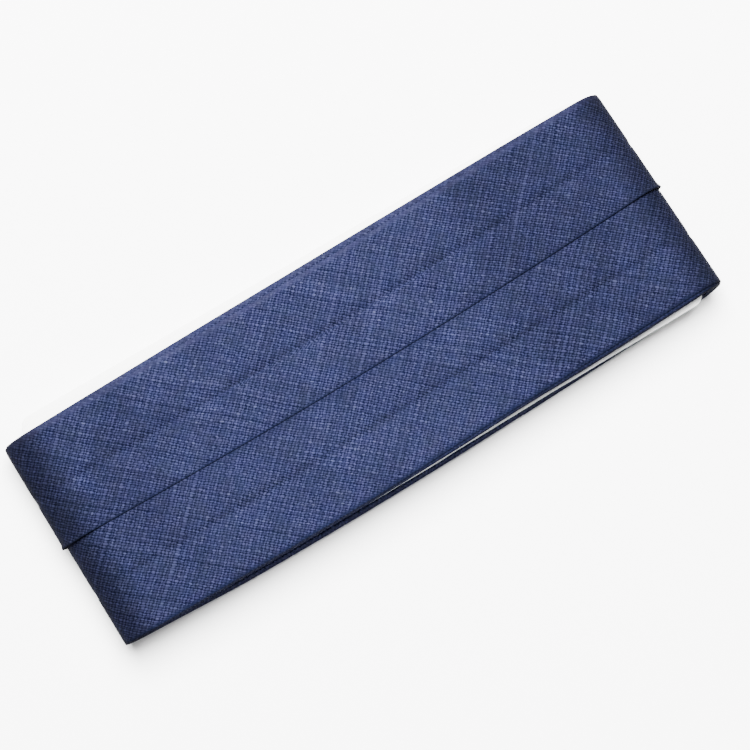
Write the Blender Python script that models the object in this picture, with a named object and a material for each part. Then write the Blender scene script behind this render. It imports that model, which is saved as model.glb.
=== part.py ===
"""Card of bias tape.

A thin white card is wound lengthwise with folded bias tape.
The tape lies in two lanes side by side, and the last turn of the
upper lane laps over the edge of the lower lane.
X runs along the lanes, Y across them towards the upper lane, Z is up.
The wound form is one closed sleeve with a slot through it for the card.
"""

from math import cos
from math import pi
from math import radians
from math import sin
from math import tan

import bmesh
import bpy

MM = 0.001

# Card core
CARD_LENGTH = 106.4 * MM
CARD_WIDTH = 40.8 * MM
CARD_THICKNESS = 1.0 * MM
CARD_CORNER_RADIUS = 2.2 * MM
CARD_TURN = radians(-0.95)
CORNER_STEPS = 8

# Wound tape, whole form
WOUND_LENGTH = 115.0 * MM
WOUND_HEIGHT = 8.4 * MM
END_ROUNDING = 4.9 * MM
TOP_CROWN = 0.25 * MM
CARD_CLEARANCE = 0.3 * MM
WINDING_SHIFT_Y = -1.0 * MM
TAPE_STEP = 0.45 * MM

# Folded edges and soft grooves of the lanes
EDGE_ROUNDING = 0.45 * MM
EDGE_STEPS = 4
GROOVE_DEPTH = 0.28 * MM
GROOVE_HALF_WIDTH = 1.1 * MM
GROOVE_STEPS = 8
LAP_FACE_RUN = 0.12 * MM

# Where each line of the lanes runs: its Y at mid length and at the ends
LOWER_EDGE = {"y_mid": -20.05 * MM, "y_end": -19.40 * MM}
LOWER_GROOVE = {"y_mid": -9.80 * MM, "y_end": -9.50 * MM}
LAP_LINE = {"y_mid": -1.50 * MM, "y_end": -0.30 * MM}
UPPER_GROOVE = {"y_mid": 8.30 * MM, "y_end": 9.25 * MM}
UPPER_EDGE = {"y_mid": 19.40 * MM, "y_end": 19.25 * MM}

# Resolution of the sleeve
TOP_STEPS = 24
END_STEPS = 14
BOTTOM_STEPS = 24
FLAT_STEPS = 2

CARD_COLOUR = (0.93, 0.93, 0.91)
TAPE_COLOUR = (0.052, 0.074, 0.165)


def remove_scene_objects():
    """Clear the scene of every object."""
    for item in list(bpy.data.objects):
        bpy.data.objects.remove(item, do_unlink=True)


def make_material(name, colour, roughness):
    """One opaque Principled material without metal."""
    material = bpy.data.materials.new(name)
    material.use_nodes = True
    shader = material.node_tree.nodes["Principled BSDF"]
    shader.inputs["Base Color"].default_value = (*colour, 1.0)
    shader.inputs["Roughness"].default_value = roughness
    shader.inputs["Metallic"].default_value = 0.0
    material.diffuse_color = (*colour, 1.0)
    return material


def smoothstep(value):
    """Ease from 0 to 1 with level ends."""
    clamped = min(max(value, 0.0), 1.0)
    return clamped * clamped * (3.0 - 2.0 * clamped)


def line_y(line, x):
    """Y of a lane line at x: a parabola bowed towards the middle."""
    share = min(abs(x) / (WOUND_LENGTH / 2), 1.0) ** 2
    return line["y_mid"] + (line["y_end"] - line["y_mid"]) * share


def edge_rows(edge, inwards):
    """Rows of a rounded long edge, from the side face onto the lane."""
    rows = []
    for step in range(EDGE_STEPS + 1):
        angle = 0.5 * pi * step / EDGE_STEPS
        inset = EDGE_ROUNDING * (1.0 - cos(angle)) * inwards
        drop = EDGE_ROUNDING * (1.0 - sin(angle))
        rows.append({"line": edge, "shift": inset, "rise": 0.0, "drop": drop})
    return rows


def groove_rows(groove, rise):
    """Rows of the soft groove down the middle of a lane."""
    rows = []
    for step in range(GROOVE_STEPS + 1):
        share = 2.0 * step / GROOVE_STEPS - 1.0
        depth = GROOVE_DEPTH * 0.5 * (1.0 + cos(pi * share))
        shift = GROOVE_HALF_WIDTH * share
        rows.append({"line": groove, "shift": shift, "rise": rise - depth, "drop": 0.0})
    return rows


def between_rows(before, after):
    """Rows that divide the flat cloth between two named rows."""
    rows = []
    for step in range(1, FLAT_STEPS + 1):
        share = step / (FLAT_STEPS + 1)
        rows.append({"before": before, "after": after, "share": share})
    return rows


def sleeve_rows():
    """Every row across the winding, from the lower to the upper edge."""
    lower_edge = edge_rows(LOWER_EDGE, 1.0)
    lower_groove = groove_rows(LOWER_GROOVE, 0.0)
    lap_foot = {"line": LAP_LINE, "shift": -LAP_FACE_RUN, "rise": 0.0, "drop": 0.0}
    lap_top = {"line": LAP_LINE, "shift": 0.0, "rise": TAPE_STEP * 0.75, "drop": 0.0}
    lap_back = {"line": LAP_LINE, "shift": LAP_FACE_RUN * 2, "rise": TAPE_STEP, "drop": 0.0}
    upper_groove = groove_rows(UPPER_GROOVE, TAPE_STEP)
    upper_edge = edge_rows(UPPER_EDGE, -1.0)
    for row in upper_edge:
        row["rise"] = TAPE_STEP
    upper_edge.reverse()
    groups = [lower_edge, lower_groove, [lap_foot, lap_top, lap_back], upper_groove, upper_edge]
    rows = list(groups[0])
    for group in groups[1:]:
        rows.extend(between_rows(rows[-1], group[0]))
        rows.extend(group)
    return rows


def row_point(row, x):
    """Y, rise and drop of a row at x."""
    if "line" in row:
        return line_y(row["line"], x) + row["shift"], row["rise"], row["drop"]
    first = row_point(row["before"], x)
    second = row_point(row["after"], x)
    share = row["share"]
    return tuple(a + (b - a) * share for a, b in zip(first, second))


def loop_stations():
    """Stations round the winding, as an X share or an end angle."""
    stations = []
    for step in range(TOP_STEPS):
        stations.append({"part": "top", "value": 1.0 - 2.0 * step / TOP_STEPS})
    for step in range(END_STEPS):
        stations.append({"part": "left", "value": 0.5 * pi - pi * step / END_STEPS})
    for step in range(BOTTOM_STEPS):
        stations.append({"part": "bottom", "value": 2.0 * step / BOTTOM_STEPS - 1.0})
    for step in range(END_STEPS):
        stations.append({"part": "right", "value": pi * step / END_STEPS - 0.5 * pi})
    return stations


def outer_point(station, row):
    """One point of the winding's outer face."""
    middle = WOUND_HEIGHT / 2
    half_height = (WOUND_HEIGHT - TAPE_STEP - TOP_CROWN) / 2
    centre_z = half_height
    flat_half = WOUND_LENGTH / 2 - END_ROUNDING
    part = station["part"]
    value = station["value"]
    end_radius = END_ROUNDING - TAPE_STEP
    if part in ("left", "right"):
        side = 1.0 if part == "right" else -1.0
        along = cos(value)
        upright = sin(value)
    else:
        side = 0.0
        along = 0.0
        upright = 1.0 if part == "top" else -1.0
    x_line = flat_half * (value if part in ("top", "bottom") else side)
    x_line += side * end_radius * along
    y, rise, drop = row_point(row, x_line)
    lift = smoothstep((upright + 1.0) / 0.9) * rise
    offset = lift - drop
    x = x_line + side * along * offset
    z = centre_z + upright * (half_height + offset)
    crown_share = 1.0 - (abs(x) / (WOUND_LENGTH / 2)) ** 2
    z += TOP_CROWN * max(crown_share, 0.0) * smoothstep((z - middle) / (middle * 0.8))
    return x, y + WINDING_SHIFT_Y, z


def slot_point(station, row):
    """One point of the slot's wall, opposite an outer point."""
    half_height = CARD_THICKNESS / 2 + CARD_CLEARANCE
    centre_z = (WOUND_HEIGHT - TAPE_STEP - TOP_CROWN) / 2
    flat_half = WOUND_LENGTH / 2 - END_ROUNDING
    part = station["part"]
    value = station["value"]
    side = 0.0
    if part in ("left", "right"):
        side = 1.0 if part == "right" else -1.0
        x_line = flat_half * side + side * (END_ROUNDING - TAPE_STEP) * cos(value)
        z = centre_z + half_height * sin(value)
    else:
        x_line = flat_half * value
        z = centre_z + (half_height if part == "top" else -half_height)
    y = row_point(row, x_line)[0] + WINDING_SHIFT_Y
    slot_half = CARD_LENGTH / 2 + CARD_CLEARANCE
    slot_end = slot_half / cos(CARD_TURN)
    if side:
        x = side * slot_end - y * tan(CARD_TURN)
    else:
        x = x_line * slot_end / flat_half - y * tan(CARD_TURN) * (x_line / flat_half) ** 2
    return x, y, z


def build_wound_tape(material):
    """The wound form of the tape, one closed sleeve round the card."""
    rows = sleeve_rows()
    stations = loop_stations()
    mesh_data = bmesh.new()
    outer = []
    for row in rows:
        outer.append([mesh_data.verts.new(outer_point(s, row)) for s in stations])
    inner = []
    for row in (rows[0], rows[-1]):
        inner.append([mesh_data.verts.new(slot_point(s, row)) for s in stations])
    count = len(stations)
    skins = [(outer[i], outer[i + 1]) for i in range(len(rows) - 1)]
    skins.append((outer[-1], inner[1]))
    skins.append((inner[1], inner[0]))
    skins.append((inner[0], outer[0]))
    for first, second in skins:
        for i in range(count):
            j = (i + 1) % count
            mesh_data.faces.new((first[i], first[j], second[j], second[i]))
    return finish_body(mesh_data, "wound_tape", material)


def build_card_core(material):
    """The card, a thin board with rounded corners."""
    mesh_data = bmesh.new()
    outline = []
    reach_x = CARD_LENGTH / 2 - CARD_CORNER_RADIUS
    reach_y = CARD_WIDTH / 2 - CARD_CORNER_RADIUS
    for quarter in range(4):
        sign_x = (1, -1, -1, 1)[quarter]
        sign_y = (1, 1, -1, -1)[quarter]
        for step in range(CORNER_STEPS + 1):
            angle = 0.5 * pi * (quarter + step / CORNER_STEPS)
            x = sign_x * reach_x + CARD_CORNER_RADIUS * cos(angle)
            y = sign_y * reach_y + CARD_CORNER_RADIUS * sin(angle)
            outline.append((x, y))
    bottom = [mesh_data.verts.new((x, y, -CARD_THICKNESS / 2)) for x, y in outline]
    top = [mesh_data.verts.new((x, y, CARD_THICKNESS / 2)) for x, y in outline]
    mesh_data.faces.new(top)
    mesh_data.faces.new(list(reversed(bottom)))
    count = len(outline)
    for i in range(count):
        j = (i + 1) % count
        mesh_data.faces.new((bottom[i], bottom[j], top[j], top[i]))
    card = finish_body(mesh_data, "card_core", material)
    card.location = (0.0, 0.0, (WOUND_HEIGHT - TAPE_STEP - TOP_CROWN) / 2)
    card.rotation_euler = (0.0, 0.0, CARD_TURN)
    return card


def finish_body(mesh_data, name, material):
    """Turn the faces outwards and make the object."""
    bmesh.ops.recalc_face_normals(mesh_data, faces=mesh_data.faces[:])
    mesh = bpy.data.meshes.new(name)
    mesh_data.to_mesh(mesh)
    mesh_data.free()
    mesh.materials.append(material)
    body = bpy.data.objects.new(name, mesh)
    bpy.context.scene.collection.objects.link(body)
    return body


def shade_round_faces(body, limit):
    """Smooth shading with edges kept sharp above an angle."""
    for polygon in body.data.polygons:
        polygon.use_smooth = True
    body.data.set_sharp_from_angle(angle=limit)


def main():
    """Build the card and the wound tape."""
    remove_scene_objects()
    card_material = make_material("card_core", CARD_COLOUR, 0.7)
    tape_material = make_material("wound_tape", TAPE_COLOUR, 0.9)
    root = bpy.data.objects.new("bias_tape_card", None)
    bpy.context.scene.collection.objects.link(root)
    root.hide_render = True
    card = build_card_core(card_material)
    tape = build_wound_tape(tape_material)
    shade_round_faces(card, radians(40))
    shade_round_faces(tape, radians(50))
    card.parent = root
    tape.parent = root


main()
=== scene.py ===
"""Card of bias tape: one folded strip of plain-weave cotton wound on a thin white card.

Lengths are in millimetres here and turn into metres when a mesh is made.
X runs along the lanes of tape, Y across them, Z up from the floor.
"""

import math

import bpy
import numpy as np
from mathutils import Matrix

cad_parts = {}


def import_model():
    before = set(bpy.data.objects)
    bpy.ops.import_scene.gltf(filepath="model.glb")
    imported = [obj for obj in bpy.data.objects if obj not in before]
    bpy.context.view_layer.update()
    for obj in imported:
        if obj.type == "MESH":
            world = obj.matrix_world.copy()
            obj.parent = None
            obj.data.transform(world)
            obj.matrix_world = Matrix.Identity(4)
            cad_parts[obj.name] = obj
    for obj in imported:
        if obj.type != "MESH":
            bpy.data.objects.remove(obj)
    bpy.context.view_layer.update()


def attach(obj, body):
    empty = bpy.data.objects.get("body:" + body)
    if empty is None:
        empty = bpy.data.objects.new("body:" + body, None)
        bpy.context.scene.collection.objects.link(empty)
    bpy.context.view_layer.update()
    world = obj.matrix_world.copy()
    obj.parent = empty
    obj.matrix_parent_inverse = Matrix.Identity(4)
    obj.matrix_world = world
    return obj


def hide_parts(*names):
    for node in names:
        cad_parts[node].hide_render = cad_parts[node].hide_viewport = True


MM = 0.001
TAU = 2.0 * math.pi

# The strip of cloth and how it is folded
CLOTH_THICKNESS = 0.145
FOLD_AIR = 0.006
FACE_WIDTH = 19.7
FACE_NARROWING = 0.4
FLANGE_GAP = 1.0
EDGE_SOFTNESS = 1.1
EDGE_DROOP_PER_LEVEL = 0.018
EDGE_FLARE_PER_LEVEL = 0.030
GROOVE_REACH = 0.75
GROOVE_FIRST = 0.105
GROOVE_PER_LEVEL = 0.034
GROOVE_SHIFT_LOWER = -0.15
GROOVE_SHIFT_UPPER = -0.75
# Widths of the painted highlight along the upper fold and of the painted shade along the lower
# fold, at the lap and beside it on the lower lane
UPPER_FOLD_HIGHLIGHT_BAND = 0.9
LOWER_FOLD_SHADE_BAND = 0.58
LAP_FOLD_SHADE_BAND = 0.32
LAP_SHADOW_BAND = 0.4

# The winding: levels count outwards from the card
TURN_PITCH = 0.315
LEVELS_UPPER = 11
LEVELS_LOWER = 10
RUN_HALF = 52.6
RUN_SPREAD = 1.35
WOUND_HALF = 57.5
INNER_END_REACH = 0.5
OUTER_END_REACH = {"lower": 4.75, "upper": 4.85}
WINDING_Y = -1.0
LOWER_LANE = {"middle": -10.20, "ends": -9.75}
LOWER_LANE_LIFT = 0.40
UPPER_LANE = {"middle": 9.55, "ends": 9.60}
LAP_SHIFT_MIDDLE = -1.2
LAP_SHIFT_ENDS = -0.25
LAP_LEVEL = 0.2
TOP_TURN_TRIM = 0.5
LOWER_END_X = 18.0
UPPER_END_X = -14.0
CROWN = 0.35
SHOULDER = 0.45
TOP_TURN_LEVEL = 3.3
BACK_STANDS_OUT = 0.36
MIDDLE_DRAWN_IN = 0.10
UNDER_TOP_DRAWN_IN = 0.32
LEFT_SLIP = 0.75

# The card
CARD_LENGTH = 107.9
CARD_WIDTH = 40.8
CARD_THICKNESS = 0.6
CARD_CORNER = 2.2
CARD_BEVEL = 0.08
CARD_TURN = math.radians(-0.95)
CARD_BULGE = 0.45
CARD_BULGE_X = -8.0
CARD_BULGE_REACH = 22.4
CARD_AIR = 0.02
CARD_Z = CARD_THICKNESS / 2 + CARD_AIR + (LEVELS_UPPER + 1) * TURN_PITCH

# The camera, from the photograph's perspective
CAMERA_TILT = math.radians(-12.4)
CAMERA_YAW = math.radians(32.0)
CAMERA_SHIFT = (-1.3, 2.4)
CAMERA_DISTANCE = 400.0
CAMERA_FOCAL_PX = 2455.0
IMAGE_SIZE_PX = 750
SENSOR_WIDTH = 36.0
FACE_Z = 8.2

# Cloth threads: spacing of the two sets and the angles they make with the lanes
THREAD_PITCH_RISING = 0.573
THREAD_PITCH_FALLING = 0.415
THREAD_ANGLE_RISING = math.radians(45.5)
THREAD_ANGLE_FALLING = math.radians(49.0)

# Cotton colours: painted shade between the threads and the threads' own colour, then slubs,
# deeper threads, patches and dust, and the painted highlight and painted shade of the folds
COTTON_GAP_SHADE = (0.0008, 0.0017, 0.0125, 1.0)
COTTON_RAISED = (0.0292, 0.0322, 0.0845, 1.0)
COTTON_SLUB = (0.060, 0.068, 0.140, 1.0)
COTTON_DEEP = (0.0030, 0.0038, 0.0165, 1.0)
COTTON_PATCH = (0.0062, 0.0092, 0.0200, 1.0)
COTTON_DUST = (0.030, 0.034, 0.070, 1.0)
COTTON_FOLD_HIGHLIGHT = (0.0120, 0.0115, 0.0330, 1.0)
COTTON_FOLD_SHADE = (0.0040, 0.0058, 0.0200, 1.0)

# Board colours: the face and the grey plies of the cut edge
BOARD_WHITE = (0.84, 0.84, 0.83, 1.0)
BOARD_FIBRE = (0.74, 0.74, 0.73, 1.0)
BOARD_CLOUD = (0.78, 0.78, 0.77, 1.0)
BOARD_PLY = (0.205, 0.225, 0.23, 1.0)
BOARD_PLY_LINE = (0.16, 0.175, 0.18, 1.0)


def ease(values, low, high):
    """Three t squared minus two t cubed, with t going from 0 at low to 1 at high."""
    t = np.clip((values - low) / (high - low), 0.0, 1.0)
    return t * t * (3.0 - 2.0 * t)


def bell(distance, reach):
    """One over e to the power of the square of distance over reach."""
    return np.exp(-((distance / reach) ** 2))


def level_height(level):
    """Distance of a level's mid-line from the card's mid-plane."""
    return CARD_THICKNESS / 2 + CARD_AIR + (level - 0.5) * TURN_PITCH


def depth_share(level):
    """0 at the turn next to the card, 1 at the outermost."""
    return (level - 1.0) / (LEVELS_UPPER - 1.0)


def run_half(level):
    """Half length of a level's straight run: longest next to the card."""
    return RUN_HALF + RUN_SPREAD * (1.0 - depth_share(level))


def end_reach(level, lane):
    """How far a level's mid-line stands past the straight run at the end turns."""
    return INNER_END_REACH + depth_share(level) * (OUTER_END_REACH[lane] - INNER_END_REACH)


def bow(x):
    """Square of x over half the winding: 0 at mid length, 1 at the ends."""
    return np.clip(np.abs(x) / WOUND_HALF, 0.0, 1.0) ** 2


def lane_y(lane, x):
    """Mid-line of a lane: from its middle value to its end value with the bow."""
    return lane["middle"] + (lane["ends"] - lane["middle"]) * bow(x)


def lap_line(path):
    """How far the upper lane's lower fold lies from each station's mid-line."""
    reach = bow(path["x"])
    shift = LAP_SHIFT_MIDDLE + (LAP_SHIFT_ENDS - LAP_SHIFT_MIDDLE) * reach / bow(RUN_HALF)
    fold = lane_y(UPPER_LANE, path["x"]) + shift - (FACE_WIDTH - FACE_NARROWING * reach) / 2.0
    return (fold - path["y"])[:, None]


def straight_run(level, side, x_from, x_to, steps):
    """A run beside the card: x goes evenly along, the height stays at the level's."""
    x = np.linspace(x_from, x_to, steps, endpoint=False)
    height = np.full(steps, side * level_height(level))
    return {"x": x, "height": height, "level": np.full(steps, float(level))}


def end_turn(lane, side, turn_from, level_from, level_to, steps):
    """Half an ellipse round the card's end, its level easing from one to the next."""
    share = np.linspace(0.0, 1.0, steps, endpoint=False)
    angle = turn_from * math.pi * (0.5 - share)
    level = level_from + (level_to - level_from) * share
    x = side * (run_half(level) + end_reach(level, lane) * np.cos(angle))
    return {"x": x, "height": level_height(level) * np.sin(angle), "level": level}


def winding_path():
    """Mid-line of the strip, from the lower lane's free end to the upper lane's.

    The strip spirals in to the card down the lower lane, crosses to the upper
    lane on the card's back, and spirals out again.
    """
    pieces = []

    def add(piece, lane, lap=0.0, trim=0.0):
        count = len(piece["x"])
        piece["trim"] = trim if np.ndim(trim) else np.full(count, trim)
        piece["lane"] = lane if np.ndim(lane) else np.full(count, lane)
        piece["lap"] = lap if np.ndim(lap) else np.full(count, lap)
        pieces.append(piece)

    def run_steps(level, top):
        return 56 if level >= top else 26 if level == top - 1 else 9

    def turn_steps(level, top):
        return 18 if level >= top - 1 else 9

    for level in range(LEVELS_LOWER, 0, -1):
        outermost = level == LEVELS_LOWER
        x_from = LOWER_END_X if outermost else -run_half(level + 1)
        steps = run_steps(level, LEVELS_LOWER)
        turns = turn_steps(level, LEVELS_LOWER)
        add(straight_run(level + 1, -1.0, x_from, run_half(level + 1), steps), 0.0)
        trim = TOP_TURN_TRIM if outermost else 0.0
        rising = np.linspace(0.0, 1.0, turns, endpoint=False)
        add(end_turn("lower", 1.0, -1.0, level + 1, level, turns), 0.0, trim=trim * rising)
        front = straight_run(level, 1.0, run_half(level), -run_half(level), steps)
        add(front, 0.0, trim=trim * ease(front["x"], -16.0, 12.0))
        add(end_turn("lower", -1.0, 1.0, level, level, turns), 0.0)

    crossing = straight_run(1, -1.0, -run_half(1), run_half(1), 24)
    add(crossing, ease(crossing["x"], -0.8 * RUN_HALF, 0.8 * RUN_HALF))

    for level in range(1, LEVELS_UPPER + 1):
        outermost = level == LEVELS_UPPER
        x_to = UPPER_END_X if outermost else run_half(level + 1)
        steps = run_steps(level, LEVELS_UPPER)
        turns = turn_steps(level, LEVELS_UPPER)
        rising = np.linspace(0.0, 1.0, turns, endpoint=False)
        last = 1.0 if outermost else 0.0
        lap = last * LAP_SHIFT_ENDS * rising
        add(end_turn("upper", 1.0, -1.0, level, level + last * LAP_LEVEL, turns), 1.0, lap)
        lifted = level + last * LAP_LEVEL
        front = straight_run(lifted, 1.0, run_half(lifted), -run_half(lifted), steps)
        reach = bow(front["x"]) / bow(RUN_HALF)
        lap = LAP_SHIFT_MIDDLE + (LAP_SHIFT_ENDS - LAP_SHIFT_MIDDLE) * reach
        add(front, 1.0, last * lap)
        turning = end_turn("upper", -1.0, 1.0, lifted, level + 1, turns)
        add(turning, 1.0, last * LAP_SHIFT_ENDS)
        back = straight_run(level + 1, -1.0, -run_half(level + 1), x_to, steps)
        add(back, 1.0, last * LAP_SHIFT_ENDS)

    keys = ("x", "height", "level", "lane", "lap", "trim")
    path = {key: np.concatenate([piece[key] for piece in pieces]) for key in keys}
    lower = lane_y(LOWER_LANE, path["x"]) + LOWER_LANE_LIFT * ease(-path["x"], -20.0, 55.0)
    upper = lane_y(UPPER_LANE, path["x"])
    path["y"] = lower + (upper - lower) * path["lane"] + path["lap"] + path["trim"] / 2.0
    path["y"] = path["y"] + turn_wander(path)
    return path


def turn_wander(path):
    """Each turn's own small drift across the lane: sines of the path's running number."""
    running = np.arange(len(path["x"])) / len(path["x"])
    drift = 0.05 * np.sin(TAU * 31.0 * running + 0.6) + 0.04 * np.sin(TAU * 53.0 * running)
    outer = ease(path["level"], LEVELS_LOWER - 1.0, float(LEVELS_LOWER))
    return drift * (1.0 - outer)


def folded_section(path):
    """Mid-line of the folded strip's cross-section at each station.

    It runs from one cut edge out along a flange, round a half circle, back over
    the face and round to the other cut edge. Returns the offset across the lane,
    the height off the path, the outward normal of the cloth's right side, the width
    unrolled so far and the painted fold light, each stations by points. The painted
    fold light is a bell curve of the distance: positive for a painted highlight at the
    upper fold, negative for painted shade at the lower fold and for a painted shadow
    on the lower lane beside the lap.
    """
    radius = (CLOTH_THICKNESS + FOLD_AIR) / 2.0
    width = FACE_WIDTH - FACE_NARROWING * bow(path["x"]) - path["trim"]
    half = (width / 2.0 - radius - CLOTH_THICKNESS / 2.0)[:, None]
    gap = (GROOVE_SHIFT_LOWER + (GROOVE_SHIFT_UPPER - GROOVE_SHIFT_LOWER) * path["lane"])[:, None]

    flange = np.array([0.0, 0.12, 0.45, 0.8, 0.93])
    turn = np.linspace(-0.5, 0.5, 6) * math.pi
    near_edge = 1.0 - np.array([0.02, 0.045, 0.075, 0.12])
    near_gap = np.array([0.55, 0.3, 0.16, 0.1, 0.05, 0.0])
    face_half = np.concatenate([near_edge, near_gap])

    first = gap + FLANGE_GAP / 2.0
    second = gap - FLANGE_GAP / 2.0
    right_flange = first + (half - first) * flange
    left_flange = (second + (-half - second) * flange)[:, ::-1]
    right_fold = half + radius * np.cos(turn)
    left_fold = -half - radius * np.cos(turn[::-1])
    right_face = gap + (half - gap) * face_half
    left_face = (gap + (-half - gap) * face_half)[:, ::-1][:, 1:]

    stations = len(path["x"])
    flat = np.zeros((stations, len(flange)))
    fold_height = np.repeat(radius * np.sin(turn)[None, :], stations, axis=0)
    faces = right_face.shape[1] + left_face.shape[1]
    across = np.hstack([right_flange, right_fold, right_face, left_face, left_fold, left_flange])
    over = np.full((stations, faces), radius)
    height = np.hstack([flat - radius, fold_height, over, fold_height[:, ::-1], flat - radius])
    normal_angle = np.concatenate(
        [
            np.full(len(flange), -0.5 * math.pi),
            turn,
            np.full(faces, 0.5 * math.pi),
            math.pi - turn[::-1],
            np.full(len(flange), 1.5 * math.pi),
        ]
    )
    unrolled = np.hypot(np.diff(across, axis=1), np.diff(height, axis=1))
    unrolled = np.hstack([np.zeros((stations, 1)), np.cumsum(unrolled, axis=1)])

    level = path["level"][:, None]
    lane = path["lane"][:, None]
    edge = ease(np.abs(across), width[:, None] / 2.0 - EDGE_SOFTNESS, width[:, None] / 2.0)
    groove = bell(across - gap, GROOVE_REACH)
    turned = ease(np.abs(path["x"]), RUN_HALF - 3.0, RUN_HALF + 2.0)[:, None]
    front = ease(path["height"], -2.5, 0.5)[:, None]
    flare = EDGE_FLARE_PER_LEVEL * turned * front * np.where(across < 0.0, 0.6 + 0.9 * lane, 0.3)
    height = height + (flare - EDGE_DROOP_PER_LEVEL) * level * edge
    height = height - (GROOVE_FIRST + GROOVE_PER_LEVEL * level) * groove * (1.0 - 0.75 * turned)
    reach = width[:, None] / 2.0
    outer = ease(level, LEVELS_LOWER - 2.0, LEVELS_LOWER - 0.5) * front
    # Painted fold light: a highlight at the upper fold, shade at the lower fold and a painted
    # shadow on the lower lane beside the lap
    lower_shade_band = LOWER_FOLD_SHADE_BAND + (LAP_FOLD_SHADE_BAND - LOWER_FOLD_SHADE_BAND) * lane
    upper_fold_highlight = (0.25 + 0.75 * lane) * bell(across - reach, UPPER_FOLD_HIGHLIGHT_BAND)
    lower_fold_shade = (0.25 + 0.75 * outer) * bell(across + reach, lower_shade_band)
    lap_shadow = 0.55 * outer * (1.0 - lane) * bell(across - lap_line(path), LAP_SHADOW_BAND)
    fold = upper_fold_highlight - np.maximum(lower_fold_shade, lap_shadow)
    return across, height, np.cos(normal_angle), np.sin(normal_angle), unrolled, fold


def settle(x, y, z):
    """How the soft winding lies: a crown, round shoulders, and turns slipped sideways.

    The crown lifts the front by a share of its height times one minus the bow, and
    the shoulders lower it near the ends. Along the lower side the middle turns are
    drawn in by half a sine of their depth and those behind the card stand out by a
    bell curve along it, as the turn under the top one is drawn in along its own.
    Towards the left end deeper turns lie further up the card.
    """
    above = np.clip(z / 4.0, 0.0, 1.2)
    ripple = np.sin(0.11 * x + 0.5) * np.sin(0.23 * y + 0.8) + 0.6 * np.sin(0.19 * x - 0.31 * y)
    shoulder = SHOULDER * ease(np.abs(x), 42.0, 56.5)
    lifted = z + above * (CROWN * (1.0 - bow(x)) + 0.03 * ripple - shoulder)
    depth = np.clip(0.5 - z / 7.8, 0.0, 1.0)
    drawn_in = MIDDLE_DRAWN_IN * np.sin(math.pi * depth)
    standing_out = BACK_STANDS_OUT * ease(depth, 0.4, 0.8) * bell(x + 12.0, 34.0)
    left_corner = LEFT_SLIP * depth * ease(-x, 32.0, WOUND_HALF)
    lower_side = ease(-y, -4.0, 12.0)
    under_top = ease(-z, 0.15 - TOP_TURN_LEVEL, 0.4 - TOP_TURN_LEVEL) * ease(z, -0.5, 0.5)
    drawn_in = drawn_in + UNDER_TOP_DRAWN_IN * under_top * bell(x - 17.0, 12.0)
    return x, y + (drawn_in - standing_out) * lower_side + left_corner, lifted


def tape_mesh():
    """Sweep the folded section along the winding and give it the cloth's thickness.

    Point = path + outward normal times section height + Y times section offset.
    The right and wrong sides stand half a cloth thickness either way.
    """
    path = winding_path()
    x = path["x"]
    z = path["height"]
    along = np.concatenate([[0.0], np.cumsum(np.hypot(np.diff(x), np.diff(z)))])
    tangent_x = np.gradient(x, along)
    tangent_z = np.gradient(z, along)
    length = np.hypot(tangent_x, tangent_z)
    normal_x = (tangent_z / length)[:, None]
    normal_z = (-tangent_x / length)[:, None]

    across, height, turn_across, turn_height, unrolled, fold = folded_section(path)
    sides = []
    for sign in (0.5, -0.5):
        offset = across + sign * CLOTH_THICKNESS * turn_across
        rise = height + sign * CLOTH_THICKNESS * turn_height
        px = x[:, None] + normal_x * rise
        pz = z[:, None] + normal_z * rise
        py = path["y"][:, None] + offset
        sides.append(np.stack(settle(px, py, pz), axis=-1))
    outer, inner = sides
    ring = np.concatenate([outer, inner[:, ::-1]], axis=1)
    ring[..., 1] += WINDING_Y
    ring[..., 2] += CARD_Z
    width = np.concatenate([unrolled, unrolled[:, ::-1]], axis=1)
    fold = np.concatenate([fold, fold[:, ::-1]], axis=1)
    return ring, along, width, fold


def ring_faces(rows, columns):
    """Quads between neighbouring rings, and the cut ends closed by a row of quads."""
    i = np.arange(rows - 1)[:, None]
    j = np.arange(columns)[None, :]
    k = (j + 1) % columns
    a = i * columns + j
    b = i * columns + k
    walls = np.stack([a, a + columns, b + columns, b], axis=-1).reshape(-1, 4)
    m = np.arange(columns // 2 - 1)
    end = np.stack([m, m + 1, columns - 2 - m, columns - 1 - m], axis=-1)
    start_cap = end
    last_cap = end[:, ::-1] + (rows - 1) * columns
    return np.concatenate([walls, start_cap, last_cap])


def mesh_object(name, points, faces, material, smooth=True):
    """A mesh object at the origin from points in millimetres and quads."""
    mesh = bpy.data.meshes.new(name)
    mesh.vertices.add(len(points))
    mesh.vertices.foreach_set("co", (points * MM).astype(np.float32).ravel())
    mesh.loops.add(faces.size)
    mesh.loops.foreach_set("vertex_index", faces.astype(np.int32).ravel())
    mesh.polygons.add(len(faces))
    mesh.polygons.foreach_set("loop_start", np.arange(len(faces), dtype=np.int32) * 4)
    mesh.update(calc_edges=True)
    mesh.validate()
    mesh.polygons.foreach_set("use_smooth", np.full(len(mesh.polygons), smooth))
    mesh.materials.append(material)
    obj = bpy.data.objects.new(name, mesh)
    bpy.context.scene.collection.objects.link(obj)
    return obj


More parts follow.
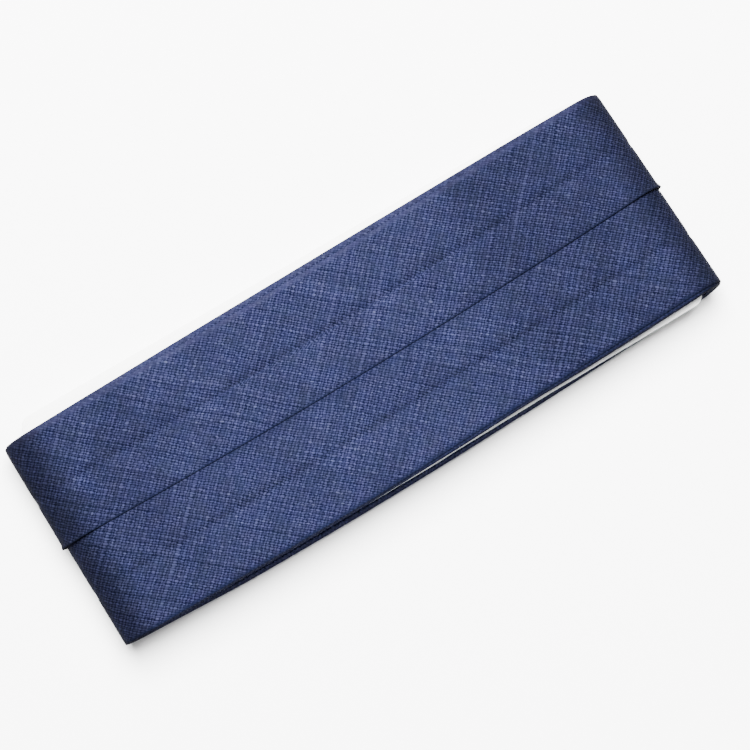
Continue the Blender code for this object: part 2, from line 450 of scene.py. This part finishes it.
def make_tape(material):
    """The whole strip, with its weave laid out by real length and width."""
    ring, along, width, fold = tape_mesh()
    rows, columns = ring.shape[:2]
    faces = ring_faces(rows, columns)
    tape = mesh_object("bias_tape", ring.reshape(-1, 3), faces, material)
    layer = tape.data.uv_layers.new(name="cloth")
    u = np.repeat(along[:, None], columns, axis=1).ravel()
    v = width.ravel()
    loops = np.empty(len(tape.data.loops), dtype=np.int32)
    tape.data.loops.foreach_get("vertex_index", loops)
    uv = np.stack([u[loops], v[loops]], axis=-1).astype(np.float32)
    layer.data.foreach_set("uv", uv.ravel())
    # The painted fold light goes to the material as the point attribute fold
    painted_fold_light = tape.data.attributes.new("fold", "FLOAT", "POINT")
    painted_fold_light.data.foreach_set("value", fold.astype(np.float32).ravel())
    strip_width = float(width.max())
    print("tape length mm", float(along[-1]), "strip width mm", strip_width)
    return tape, strip_width * MM, float(along[-1]) * MM


def rounded_outline(length, width, radius, steps, edge_steps):
    """Points round a rectangle with round corners, with extra points on its sides."""
    points = []
    reach = np.array([length / 2.0 - radius, width / 2.0 - radius])
    signs = np.array([[1, 1], [-1, 1], [-1, -1], [1, -1]])
    for quarter in range(4):
        angle = 0.5 * math.pi * (quarter + np.linspace(0.0, 1.0, steps + 1))
        arc = signs[quarter] * reach + radius * np.stack([np.cos(angle), np.sin(angle)], axis=-1)
        start = arc[-1]
        stop = signs[(quarter + 1) % 4] * reach
        stop = stop + radius * np.array([math.cos(angle[-1]), math.sin(angle[-1])])
        side = np.linspace(0.0, 1.0, edge_steps + 1, endpoint=False)[1:, None]
        points.extend([arc, start + (stop - start) * side])
    return np.concatenate(points)


def make_card(material):
    """The board: rings from the middle out to the bevelled edge and back under.

    Each ring is the outline drawn in by an inset, at its own height, and the
    outline wavers by a few hundredths of a millimetre as a die cuts it. The lower
    long edge stands out by a bell curve along it.
    """
    half = CARD_THICKNESS / 2.0
    levels = (
        (16.0, half),
        (6.0, half),
        (1.5, half),
        (CARD_BEVEL, half),
        (CARD_BEVEL * 0.3, half - CARD_BEVEL * 0.3),
        (0.0, half - CARD_BEVEL),
        (0.0, 0.0),
        (0.0, CARD_BEVEL - half),
        (CARD_BEVEL * 0.3, CARD_BEVEL * 0.3 - half),
        (CARD_BEVEL, -half),
        (1.5, -half),
        (6.0, -half),
        (16.0, -half),
    )
    outline = rounded_outline(CARD_LENGTH, CARD_WIDTH, CARD_CORNER, 10, 30)
    count = len(outline)
    run = np.arange(count) / count
    waver = 0.03 * np.sin(TAU * 37 * run) + 0.02 * np.sin(TAU * 61 * run + 1.0)
    reach = np.hypot(outline[:, 0], outline[:, 1])[:, None]
    outward = outline / reach
    rings = []
    for inset, height in levels:
        box = np.array([CARD_LENGTH, CARD_WIDTH]) / 2.0
        shrink = (box - inset) / box
        edge = outline * shrink + outward * (waver * (inset < 1.0))[:, None]
        rings.append(np.column_stack([edge, np.full(count, height)]))
    ring = np.stack(rings)
    bulge = bell(ring[..., 0] - CARD_BULGE_X, CARD_BULGE_REACH)
    bulge = bulge * ease(-ring[..., 1], 6.0, 20.0)
    ring[..., 1] -= CARD_BULGE * bulge
    cos_turn, sin_turn = math.cos(CARD_TURN), math.sin(CARD_TURN)
    flat_x, flat_y = ring[..., 0].copy(), ring[..., 1].copy()
    ring[..., 0] = flat_x * cos_turn - flat_y * sin_turn
    ring[..., 1] = flat_x * sin_turn + flat_y * cos_turn
    ring[..., 2] += CARD_Z
    rows = len(levels)
    i = np.arange(rows - 1)[:, None]
    j = np.arange(count)[None, :]
    k = (j + 1) % count
    walls = [i * count + j, (i + 1) * count + j, (i + 1) * count + k, i * count + k]
    walls = np.stack(walls, axis=-1)
    half_count = count // 2
    m = np.arange(half_count - 1)
    top = np.stack([m, m + 1, count - 2 - m, count - 1 - m], axis=-1)
    under = top[:, ::-1] + (rows - 1) * count
    faces = np.concatenate([walls.reshape(-1, 4), top, under])
    return mesh_object("card_board", ring.reshape(-1, 3), faces, material)


def new_material(name):
    """An empty material with its Principled shader."""
    material = bpy.data.materials.new(name)
    material.use_nodes = True
    tree = material.node_tree
    shader = tree.nodes["Principled BSDF"]
    return material, tree, shader


def wire(tree, source, target):
    """Join two sockets, or set a plain value on the target."""
    if isinstance(source, (int, float, tuple)):
        target.default_value = source
    else:
        tree.links.new(source, target)


def maths(tree, operation, first, second=None, third=None, clamp=False):
    """A Math node's result from sockets or numbers."""
    node = tree.nodes.new("ShaderNodeMath")
    node.operation = operation
    node.use_clamp = clamp
    for index, value in enumerate((first, second, third)):
        if value is not None:
            wire(tree, value, node.inputs[index])
    return node.outputs[0]


def blend(tree, share, first, second):
    """A colour between two colours."""
    node = tree.nodes.new("ShaderNodeMix")
    node.data_type = "RGBA"
    wire(tree, share, node.inputs["Factor"])
    wire(tree, first, node.inputs["A"])
    wire(tree, second, node.inputs["B"])
    return node.outputs["Result"]


def remap(tree, value, low, high, new_low, new_high):
    """A value moved smoothly from one range to another, held at the ends."""
    node = tree.nodes.new("ShaderNodeMapRange")
    node.interpolation_type = "SMOOTHSTEP"
    for index, item in enumerate((value, low, high, new_low, new_high)):
        wire(tree, item, node.inputs[index])
    return node.outputs[0]


def noise(tree, vector, scale, detail=2.0, roughness=0.5, dimensions="3D"):
    """A Noise Texture's value."""
    node = tree.nodes.new("ShaderNodeTexNoise")
    node.noise_dimensions = dimensions
    node.inputs["Scale"].default_value = scale
    node.inputs["Detail"].default_value = detail
    node.inputs["Roughness"].default_value = roughness
    wire(tree, vector, node.inputs["Vector"])
    return node.outputs[0]


def combine(tree, x, y, z=0.0):
    """A vector from three values."""
    node = tree.nodes.new("ShaderNodeCombineXYZ")
    for socket, value in zip(node.inputs, (x, y, z)):
        wire(tree, value, socket)
    return node.outputs[0]


def separate(tree, vector):
    """The three values of a vector."""
    node = tree.nodes.new("ShaderNodeSeparateXYZ")
    wire(tree, vector, node.inputs[0])
    return node.outputs


def random_value(tree, x, y=0.0):
    """A fixed random number from 0 to 1 for each cell."""
    node = tree.nodes.new("ShaderNodeTexWhiteNoise")
    node.noise_dimensions = "2D"
    wire(tree, combine(tree, x, y), node.inputs["Vector"])
    return node.outputs["Value"]


def plain_weave_group():
    """A node group for plain weave.

    Two sets of threads cross at right angles, unevenly spaced by a noise across
    them. A thread's height is a parabola across it plus a sine along it, which
    changes sign from thread to thread, and the higher thread of the two shows.
    """
    tree = bpy.data.node_groups.new("plain_weave", "ShaderNodeTree")
    for name in ("First", "Second", "First Pitch", "Second Pitch"):
        tree.interface.new_socket(name, in_out="INPUT", socket_type="NodeSocketFloat")
    for name in ("Height", "Thread Tone", "Slub", "Gap"):
        tree.interface.new_socket(name, in_out="OUTPUT", socket_type="NodeSocketFloat")
    given = tree.nodes.new("NodeGroupInput").outputs
    result = tree.nodes.new("NodeGroupOutput").inputs

    def uneven(value, seed):
        shift = noise(tree, combine(tree, value, seed), 0.75, 1.0)
        return maths(tree, "ADD", value, maths(tree, "MULTIPLY_ADD", shift, 1.1, -0.55))

    a = uneven(maths(tree, "DIVIDE", given["First"], given["First Pitch"]), 3.7)
    b = uneven(maths(tree, "DIVIDE", given["Second"], given["Second Pitch"]), 41.3)
    cell_a = maths(tree, "FLOOR", a)
    cell_b = maths(tree, "FLOOR", b)

    def alternate(cell):
        odd = maths(tree, "PINGPONG", cell, 1.0)
        return maths(tree, "MULTIPLY_ADD", odd, -2.0, 1.0)

    def across(value):
        share = maths(tree, "FRACT", value)
        centred = maths(tree, "MULTIPLY_ADD", share, 2.0, -1.0)
        square = maths(tree, "MULTIPLY", centred, centred)
        return maths(tree, "SUBTRACT", 1.0, square)

    def undulation(value, sign):
        wave = maths(tree, "SINE", maths(tree, "MULTIPLY", value, math.pi))
        return maths(tree, "MULTIPLY", wave, sign)

    rise_a = undulation(b, alternate(cell_a))
    rise_b = maths(tree, "MULTIPLY", undulation(a, alternate(cell_b)), -1.0)
    height_a = maths(tree, "MULTIPLY_ADD", rise_a, 0.42, across(a))
    height_b = maths(tree, "MULTIPLY_ADD", rise_b, 0.42, maths(tree, "ADD", across(b), 0.12))
    top = maths(tree, "MAXIMUM", height_a, height_b)
    wire(tree, maths(tree, "DIVIDE", top, 1.42), result["Height"])

    a_on_top = maths(tree, "GREATER_THAN", height_a, height_b)
    tone_a = maths(tree, "MULTIPLY_ADD", random_value(tree, cell_a, 3.0), 0.42, 0.29)
    tone_b = random_value(tree, cell_b, 11.0)
    paired = maths(tree, "PINGPONG", cell_b, 1.0)
    tone_b = maths(tree, "MULTIPLY_ADD", paired, 0.6, maths(tree, "MULTIPLY", tone_b, 0.45))
    slub_a = noise(tree, combine(tree, maths(tree, "MULTIPLY", cell_a, 7.31), b), 0.35, 2.0)
    slub_b = noise(tree, combine(tree, a, maths(tree, "MULTIPLY", cell_b, 5.17)), 0.22, 2.0)

    def choose(first, second):
        part = maths(tree, "MULTIPLY", maths(tree, "SUBTRACT", first, second), a_on_top)
        return maths(tree, "ADD", part, second)

    tone = choose(tone_a, tone_b)
    crossing = random_value(tree, cell_a, cell_b)
    mixed = maths(tree, "MULTIPLY_ADD", crossing, 0.45, maths(tree, "MULTIPLY", tone, 0.55))
    wire(tree, mixed, result["Thread Tone"])
    wire(tree, choose(slub_a, slub_b), result["Slub"])
    corner_a = maths(tree, "ROUND", a)
    corner_b = maths(tree, "ROUND", b)
    wire(tree, random_value(tree, corner_a, corner_b), result["Gap"])
    return tree


def cotton_material(weave):
    """Navy cotton cut on the bias: dark between the threads, paler on top.

    Painted light makes it paler over the middle of the runs, and painted shade
    darker towards the right end, round the ends, where it turns from the view,
    along the lower fold of a run and beside the lap. A painted highlight makes it
    paler along the upper fold, where the weave is also smoother.
    """
    material, tree, shader = new_material("navy_cotton")
    source = tree.nodes.new("ShaderNodeUVMap")
    source.uv_map = "cloth"
    u, v, _ = separate(tree, source.outputs[0])
    place = combine(tree, u, v)

    def strayed(vector, scale, detail, span):
        share = noise(tree, vector, scale, detail)
        return maths(tree, "MULTIPLY_ADD", share, span, -span / 2.0)

    drift_one = strayed(place, 0.05, 1.0, 1.6)
    drift_two = strayed(combine(tree, v, u, 4.0), 0.05, 1.0, 1.6)
    wobble_one = strayed(place, 1.1, 2.0, 0.36)
    wobble_two = strayed(combine(tree, u, v, 7.0), 1.3, 2.0, 0.52)

    def slanted(angle, sign):
        part = maths(tree, "MULTIPLY", v, sign * math.sin(angle))
        return maths(tree, "MULTIPLY_ADD", u, math.cos(angle), part)

    rising = slanted(THREAD_ANGLE_FALLING, 1.0)
    falling = slanted(THREAD_ANGLE_RISING, -1.0)
    rising = maths(tree, "ADD", maths(tree, "ADD", rising, drift_one), wobble_one)
    falling = maths(tree, "ADD", maths(tree, "ADD", falling, drift_two), wobble_two)

    node = tree.nodes.new("ShaderNodeGroup")
    node.node_tree = weave
    wire(tree, falling, node.inputs["First"])
    wire(tree, rising, node.inputs["Second"])
    node.inputs["First Pitch"].default_value = THREAD_PITCH_RISING
    node.inputs["Second Pitch"].default_value = THREAD_PITCH_FALLING
    height = node.outputs["Height"]
    tone = node.outputs["Thread Tone"]
    slub = node.outputs["Slub"]
    gap = node.outputs["Gap"]

    # The fold attribute carries painted light: a highlight at the upper fold, shade at the lower
    # fold and beside the lap
    fold = tree.nodes.new("ShaderNodeAttribute")
    fold.attribute_name = "fold"
    upper_fold_highlight = remap(tree, fold.outputs["Fac"], 0.15, 0.8, 0.0, 1.0)
    lower_fold_shade = remap(tree, fold.outputs["Fac"], -0.85, -0.1, 0.74, 0.0)

    clouds = noise(tree, place, 0.13, 3.0, 0.55)
    patches = noise(tree, combine(tree, u, v, 9.0), 0.22, 3.0, 0.6)
    fuzz = noise(tree, place, 7.0, 2.0, 0.6)
    depth = remap(tree, height, 0.55, 1.0, 0.0, 1.0)
    closed = maths(tree, "MULTIPLY", maths(tree, "POWER", gap, 3.0), 0.3)
    # The painted highlight along the upper fold also closes the gaps of the weave
    closed = maths(tree, "MAXIMUM", closed, maths(tree, "MULTIPLY", upper_fold_highlight, 0.6))
    # Painted shade fills the gaps between the threads; the raised threads show the dye's own
    # colour
    lit = maths(tree, "MULTIPLY_ADD", maths(tree, "SUBTRACT", 1.0, depth), closed, depth)
    dyed = blend(tree, lit, COTTON_GAP_SHADE, COTTON_RAISED)
    streaks = maths(tree, "MULTIPLY", remap(tree, slub, 0.52, 0.88, 0.0, 0.8), lit)
    pale = blend(tree, streaks, dyed, COTTON_SLUB)
    deeper = blend(tree, remap(tree, tone, 0.1, 0.9, 0.0, 0.62), pale, COTTON_DEEP)
    patched = blend(tree, remap(tree, patches, 0.4, 0.7, 0.0, 0.3), deeper, COTTON_PATCH)
    dusty = blend(tree, remap(tree, fuzz, 0.5, 0.85, 0.0, 0.22), patched, COTTON_DUST)
    # Painted highlight along the upper fold, then painted shade along the lower fold and beside
    # the lap
    highlighted = blend(tree, maths(tree, "MULTIPLY", upper_fold_highlight, 0.35), dusty, COTTON_FOLD_HIGHLIGHT)
    shaded = blend(tree, lower_fold_shade, highlighted, COTTON_FOLD_SHADE)

    sideways = separate(tree, tree.nodes.new("ShaderNodeTexCoord").outputs["Object"])[0]
    from_middle = maths(tree, "ABSOLUTE", maths(tree, "ADD", sideways, 6.0 * MM))
    from_centre = maths(tree, "ABSOLUTE", maths(tree, "SUBTRACT", sideways, 0.5 * MM))
    # Painted light and shade: paler over the middle of the runs, darker towards the right end and
    # round the ends; the clouds below add random mottling of the dye
    shade = remap(tree, from_middle, 20.0 * MM, 38.0 * MM, 0.65, 0.535)
    shade = maths(tree, "MULTIPLY", shade, remap(tree, sideways, 12.0 * MM, 32.0 * MM, 1.0, 0.9))
    painted_end_shade = remap(tree, from_centre, 49.8 * MM, 55.8 * MM, 1.0, 0.41)
    shade = maths(tree, "MULTIPLY", shade, painted_end_shade)
    shade = maths(tree, "MULTIPLY", shade, remap(tree, clouds, 0.3, 0.7, 0.90, 1.08))
    # Painted shade where the cloth turns away from the view
    facing = tree.nodes.new("ShaderNodeLayerWeight")
    facing.inputs["Blend"].default_value = 0.5
    painted_grazing_shade = remap(tree, facing.outputs["Facing"], 0.1, 0.7, 1.0, 0.9)
    shade = maths(tree, "MULTIPLY", shade, painted_grazing_shade)
    redder = remap(tree, noise(tree, combine(tree, u, v, 15.0), 0.5, 2.0), 0.3, 0.7, 0.97, 1.05)
    bluer = remap(tree, noise(tree, combine(tree, u, v, 23.0), 0.35, 2.0), 0.3, 0.7, 0.885, 0.985)
    red = maths(tree, "MULTIPLY", shade, redder)
    blue = maths(tree, "MULTIPLY", shade, bluer)
    tint = combine(tree, red, shade, blue)
    scaled = tree.nodes.new("ShaderNodeVectorMath")
    scaled.operation = "MULTIPLY"
    wire(tree, shaded, scaled.inputs[0])
    wire(tree, tint, scaled.inputs[1])
    wire(tree, scaled.outputs[0], shader.inputs["Base Color"])
    wire(tree, remap(tree, height, 0.0, 1.0, 0.95, 0.78), shader.inputs["Roughness"])
    shader.inputs["Specular IOR Level"].default_value = 0.02

    relief = maths(tree, "MULTIPLY_ADD", fuzz, 0.25, maths(tree, "MULTIPLY", height, 0.9))
    bump = tree.nodes.new("ShaderNodeBump")
    bump.inputs["Strength"].default_value = 0.9
    bump.inputs["Distance"].default_value = 0.11 * MM
    wire(tree, relief, bump.inputs["Height"])
    wire(tree, bump.outputs[0], shader.inputs["Normal"])
    return material


def board_material():
    """White board: faint fibres on the faces, thin grey plies on the cut edge."""
    material, tree, shader = new_material("white_board")
    coords = tree.nodes.new("ShaderNodeTexCoord").outputs["Object"]
    x, y, z = separate(tree, coords)
    fibres = noise(tree, combine(tree, x, maths(tree, "MULTIPLY", y, 3.0), z), 900.0, 3.0, 0.6)
    clouds = noise(tree, coords, 60.0, 2.0)
    plies = maths(tree, "SINE", maths(tree, "MULTIPLY", z, 30000.0))
    white = blend(tree, remap(tree, fibres, 0.35, 0.75, 0.0, 0.5), BOARD_WHITE, BOARD_FIBRE)
    shaded = blend(tree, remap(tree, clouds, 0.4, 0.8, 0.0, 0.3), white, BOARD_CLOUD)
    geometry = tree.nodes.new("ShaderNodeNewGeometry")
    facing = maths(tree, "ABSOLUTE", separate(tree, geometry.outputs["True Normal"])[2])
    edge = remap(tree, facing, 0.3, 0.8, 1.0, 0.0)
    cut = blend(tree, remap(tree, plies, -0.5, 0.9, 0.0, 1.0), BOARD_PLY, BOARD_PLY_LINE)
    wire(tree, blend(tree, edge, shaded, cut), shader.inputs["Base Color"])
    shader.inputs["Roughness"].default_value = 0.7
    shader.inputs["Specular IOR Level"].default_value = 0.3
    bump = tree.nodes.new("ShaderNodeBump")
    bump.inputs["Strength"].default_value = 0.4
    bump.inputs["Distance"].default_value = 0.02 * MM
    wire(tree, fibres, bump.inputs["Height"])
    wire(tree, bump.outputs[0], shader.inputs["Normal"])
    return material


def floor_material():
    """Plain pale floor."""
    material, tree, shader = new_material("pale_floor")
    shader.inputs["Base Color"].default_value = (0.95, 0.95, 0.95, 1.0)
    shader.inputs["Roughness"].default_value = 0.9
    return material


def make_stage():
    """The floor the card lies on."""
    mesh = bpy.data.meshes.new("floor")
    size = 4.0
    corners = [(-size, -size, 0.0), (size, -size, 0.0), (size, size, 0.0), (-size, size, 0.0)]
    mesh.from_pydata(corners, [], [(0, 1, 2, 3)])
    mesh.materials.append(floor_material())
    floor = bpy.data.objects.new("floor", mesh)
    bpy.context.scene.collection.objects.link(floor)


def area_light(name, place, aim, size, power, colour=(1.0, 1.0, 1.0)):
    """A soft square light at a place, turned to its aim."""
    data = bpy.data.lights.new(name, "AREA")
    data.shape = "SQUARE"
    data.size = size
    data.energy = power
    data.color = colour
    lamp = bpy.data.objects.new(name, data)
    lamp.location = place
    direction = np.array(place) - np.array(aim)
    yaw = math.atan2(direction[1], direction[0])
    pitch = math.atan2(math.hypot(direction[0], direction[1]), direction[2])
    lamp.rotation_euler = (0.0, pitch, yaw)
    bpy.context.scene.collection.objects.link(lamp)


def make_lights():
    """One large soft light above and behind to the right, and an even pale sky."""
    world = bpy.data.worlds.new("studio")
    world.use_nodes = True
    background = world.node_tree.nodes["Background"]
    background.inputs["Color"].default_value = (1.0, 1.0, 1.0, 1.0)
    background.inputs["Strength"].default_value = 0.45
    bpy.context.scene.world = world
    area_light("soft_key", (0.16, 0.34, 0.80), (0.0, 0.0, 0.0), 0.80, 100.0)


def make_camera():
    """The photograph's view: the card turned by the yaw, then tipped by the tilt."""
    data = bpy.data.cameras.new("camera")
    data.sensor_width = SENSOR_WIDTH
    data.lens = CAMERA_FOCAL_PX * SENSOR_WIDTH / IMAGE_SIZE_PX
    data.clip_start = 0.05
    data.clip_end = 20.0
    camera = bpy.data.objects.new("camera", data)
    cos_t, sin_t = math.cos(CAMERA_TILT), math.sin(CAMERA_TILT)
    cos_y, sin_y = math.cos(CAMERA_YAW), math.sin(CAMERA_YAW)
    tip = np.array([[1, 0, 0], [0, cos_t, -sin_t], [0, sin_t, cos_t]])
    turn = np.array([[cos_y, -sin_y, 0], [sin_y, cos_y, 0], [0, 0, 1]])
    axes = (tip @ turn).T
    place = axes @ np.array([-CAMERA_SHIFT[0], -CAMERA_SHIFT[1], CAMERA_DISTANCE])
    place = (place + np.array([0.0, WINDING_Y, FACE_Z])) * MM
    world = np.eye(4)
    world[:3, :3] = axes
    world[:3, 3] = place
    camera.matrix_world = Matrix(world.tolist())
    bpy.context.scene.collection.objects.link(camera)
    bpy.context.scene.camera = camera


def main():
    """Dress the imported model."""
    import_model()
    make_camera()
    make_stage()
    make_lights()

    cotton = cotton_material(plain_weave_group())
    board = board_material()
    tape, strip_width, strip_length = make_tape(cotton)
    card = make_card(board)
    for piece, node in ((tape, "wound_tape"), (card, "card_core")):
        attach(piece, "root")
        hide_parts(node)

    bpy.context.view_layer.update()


main()
